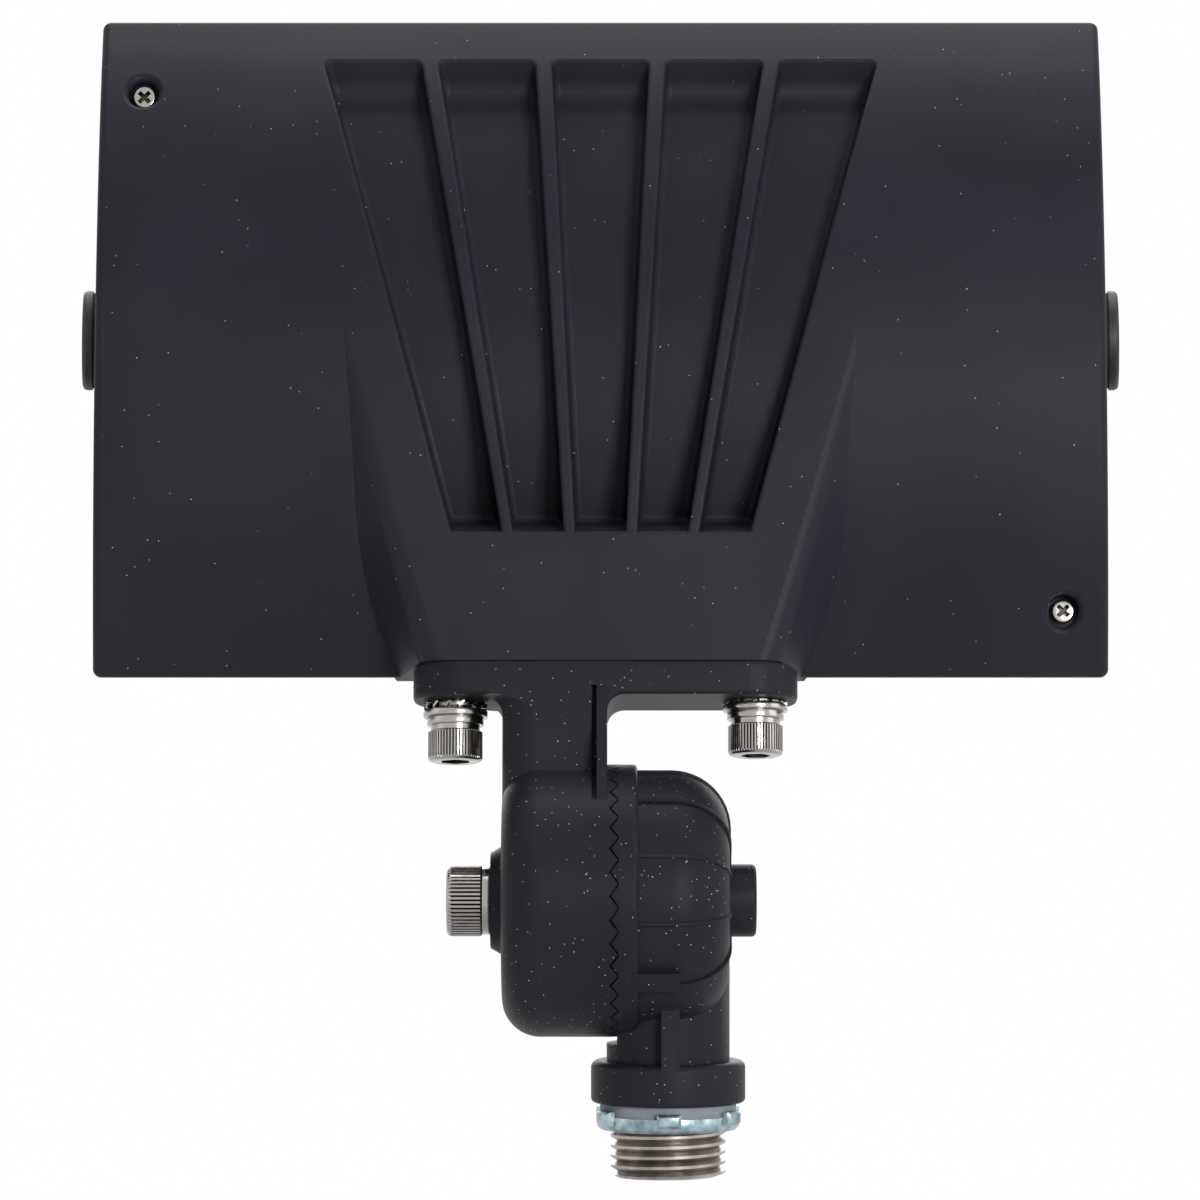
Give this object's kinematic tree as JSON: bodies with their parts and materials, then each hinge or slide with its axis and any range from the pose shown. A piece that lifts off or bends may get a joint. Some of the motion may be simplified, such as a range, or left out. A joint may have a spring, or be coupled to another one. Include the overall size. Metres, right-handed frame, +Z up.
{
  "type": "led floodlight",
  "caption": "Outdoor floodlight with a wide curved-back head that tilts on a toothed knuckle, mounted by a threaded nipple with a locknut.",
  "frame": {"origin": "on the nipple's axis, in the lower face of the collar that seats on the junction box's hub", "axes": "+Z up along the nipple's axis; +Y the way the glass faces; +X along the head's width and the tilt axis, to the right as seen from behind the lamp"},
  "size_m": [0.1936, 0.0874, 0.2139],
  "materials": {
    "dark_paint": "fine textured dark powder coat",
    "nickel_steel": "bright, knurled and turned",
    "zinc_steel": "bright zinc",
    "rubber": "matt",
    "grey_rubber": "matt",
    "black_plastic": "matt, moulded",
    "clear_glass": "clear, flat",
    "reflector_sheet": "bright anodised",
    "bare_aluminium": "milled",
    "board_white": "white board lacquer",
    "board_green": "green board lacquer",
    "led_yellow": "phosphor under clear resin",
    "lead_white": "insulation",
    "earth_green": "green coated"
  },
  "bodies": {
    "base": {"knuckle_base": "dark_paint", "joint_seal": "rubber", "pivot_bolt": "nickel_steel", "pivot_spring_washer": "nickel_steel"},
    "head": {"knuckle_arm": "dark_paint", "plate_gasket": "rubber", "plate_bolts": "nickel_steel", "spring_washers": "nickel_steel", "flat_washers": "nickel_steel", "star_washers": "nickel_steel", "rear_housing": "dark_paint", "rear_screws": "nickel_steel", "side_plugs": "black_plastic", "side_plug_seals": "rubber", "housing_seal": "rubber", "front_frame": "dark_paint", "glass": "clear_glass", "glass_gasket": "rubber", "glass_clips": "nickel_steel", "glass_clip_screws": "nickel_steel", "reflector": "reflector_sheet", "led_board": "board_white", "led_chips": "led_yellow", "led_board_screws": "nickel_steel", "thermal_pad": "grey_rubber", "heat_plate": "bare_aluminium", "heat_plate_screws": "nickel_steel", "driver_case": "black_plastic", "driver_board": "board_green", "driver_components": "black_plastic", "driver_board_screws": "nickel_steel", "driver_screws": "nickel_steel", "earth_screw": "earth_green", "led_leads": "lead_white"},
    "nipple_seal": {"seal_ring": "grey_rubber"},
    "nut": {"locknut": "zinc_steel"}
  },
  "joints": [
    {"name": "head_tilt", "type": "hinge", "parent": "base", "child": "head", "pos_m": [0, 0, 0.0366], "axis": [1, 0, 0], "range_deg": [-80, 100]},
    {"name": "locknut_travel", "type": "slide", "parent": "base", "child": "nipple_seal", "axis": [0, 0, -1], "range_m": [0, 0.00726]},
    {"name": "locknut_turn", "type": "hinge", "parent": "nipple_seal", "child": "nut", "pos_m": [0, 0, 0], "axis": [0, 0, -1], "range_deg": [0, 1440]}
  ],
  "couplings": [
    {"joint": "locknut_travel", "follows": "locknut_turn", "m_per_rad": 0.00028875}
  ]
}
